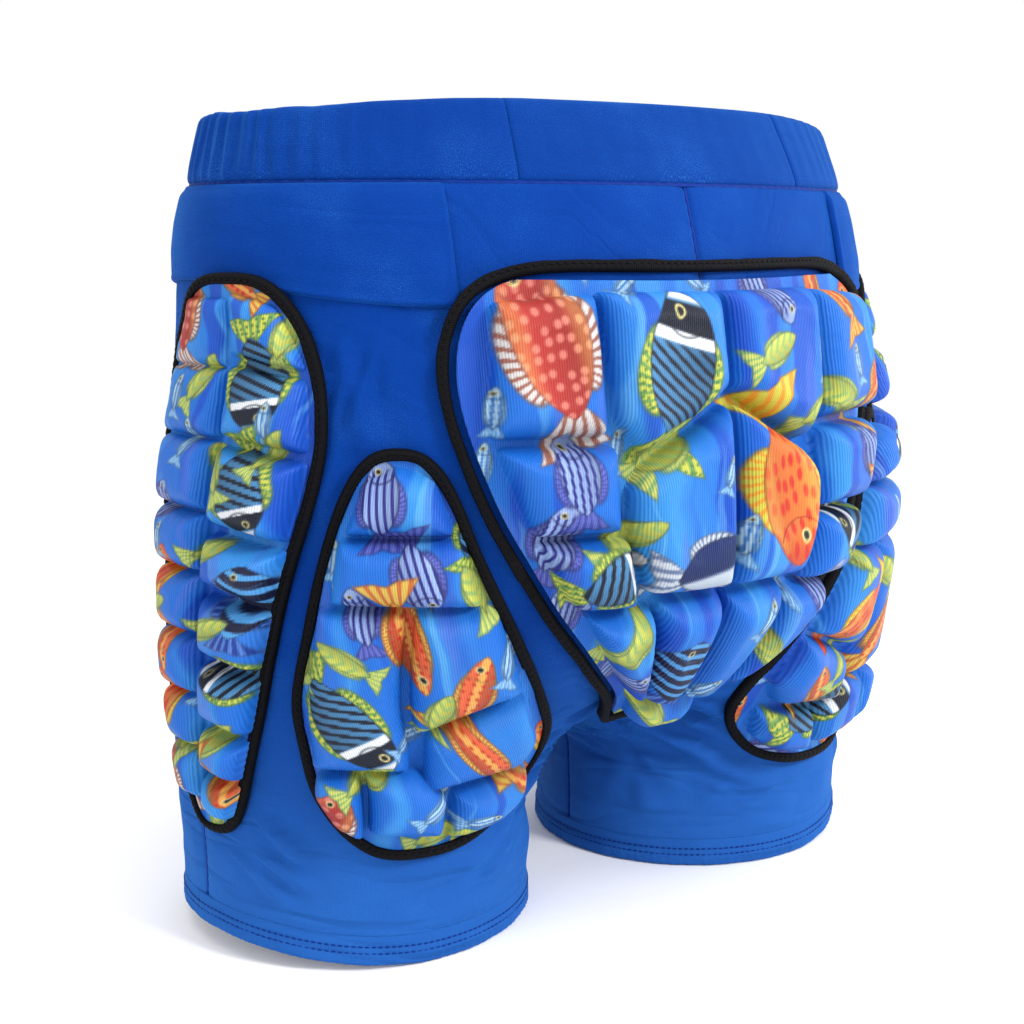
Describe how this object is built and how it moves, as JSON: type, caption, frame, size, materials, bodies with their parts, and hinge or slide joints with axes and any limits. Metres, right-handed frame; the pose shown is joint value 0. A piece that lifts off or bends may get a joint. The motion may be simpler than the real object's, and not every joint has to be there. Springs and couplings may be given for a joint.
{
  "type": "padded impact shorts",
  "caption": "Stretch-cloth impact shorts with a seat pad, two hip pads and two thigh pads of raised foam cells under a printed cover with black bound edges.",
  "frame": {"origin": "Middle of the footprint at the level of the two hems", "axes": "Wearer faces -Y, wearer's left is +X, waist is up at +Z"},
  "size_m": [0.3652, 0.2395, 0.33],
  "materials": {
    "stretch_cloth": "matt royal blue cotton and elastane jersey",
    "waistband_cloth": "matt royal blue jersey, doubled",
    "pad_print": "fine ribbed knit printed with tropical fish on striped blue water",
    "pad_foam": "closed-cell foam",
    "pad_backing": "plain woven lining",
    "binding_tape": "black woven bias tape",
    "black_thread": "black sewing thread",
    "blue_thread": "blue sewing thread",
    "seam_thread": "overlocked seam in blue thread",
    "elastic": "woven elastic"
  },
  "bodies": {
    "root": {"back_panel_left": "stretch_cloth", "back_panel_right": "stretch_cloth", "front_panel_left": "stretch_cloth", "front_panel_right": "stretch_cloth", "side_yoke_left": "stretch_cloth", "side_yoke_right": "stretch_cloth", "hem_left": "stretch_cloth", "hem_right": "stretch_cloth", "hem_stitching_left": "blue_thread", "hem_stitching_right": "blue_thread", "centre_seam": "seam_thread", "side_seam_left": "seam_thread", "side_seam_right": "seam_thread", "inseam_left": "seam_thread", "inseam_right": "seam_thread", "waist_seam": "seam_thread", "waistband_back": "waistband_cloth", "waistband_main": "waistband_cloth", "waist_elastic": "elastic", "seat_pad_backing": "pad_backing", "seat_pad_foam": "pad_foam", "seat_pad_cover": "pad_print", "seat_pad_binding": "binding_tape", "seat_pad_stitching": "black_thread", "hip_pad_left_backing": "pad_backing", "hip_pad_left_foam": "pad_foam", "hip_pad_left_cover": "pad_print", "hip_pad_left_binding": "binding_tape", "hip_pad_left_stitching": "black_thread", "hip_pad_right_backing": "pad_backing", "hip_pad_right_foam": "pad_foam", "hip_pad_right_cover": "pad_print", "hip_pad_right_binding": "binding_tape", "hip_pad_right_stitching": "black_thread", "thigh_pad_left_backing": "pad_backing", "thigh_pad_left_foam": "pad_foam", "thigh_pad_left_cover": "pad_print", "thigh_pad_left_binding": "binding_tape", "thigh_pad_left_stitching": "black_thread", "thigh_pad_right_backing": "pad_backing", "thigh_pad_right_foam": "pad_foam", "thigh_pad_right_cover": "pad_print", "thigh_pad_right_binding": "binding_tape", "thigh_pad_right_stitching": "black_thread"}
  },
  "joints": []
}
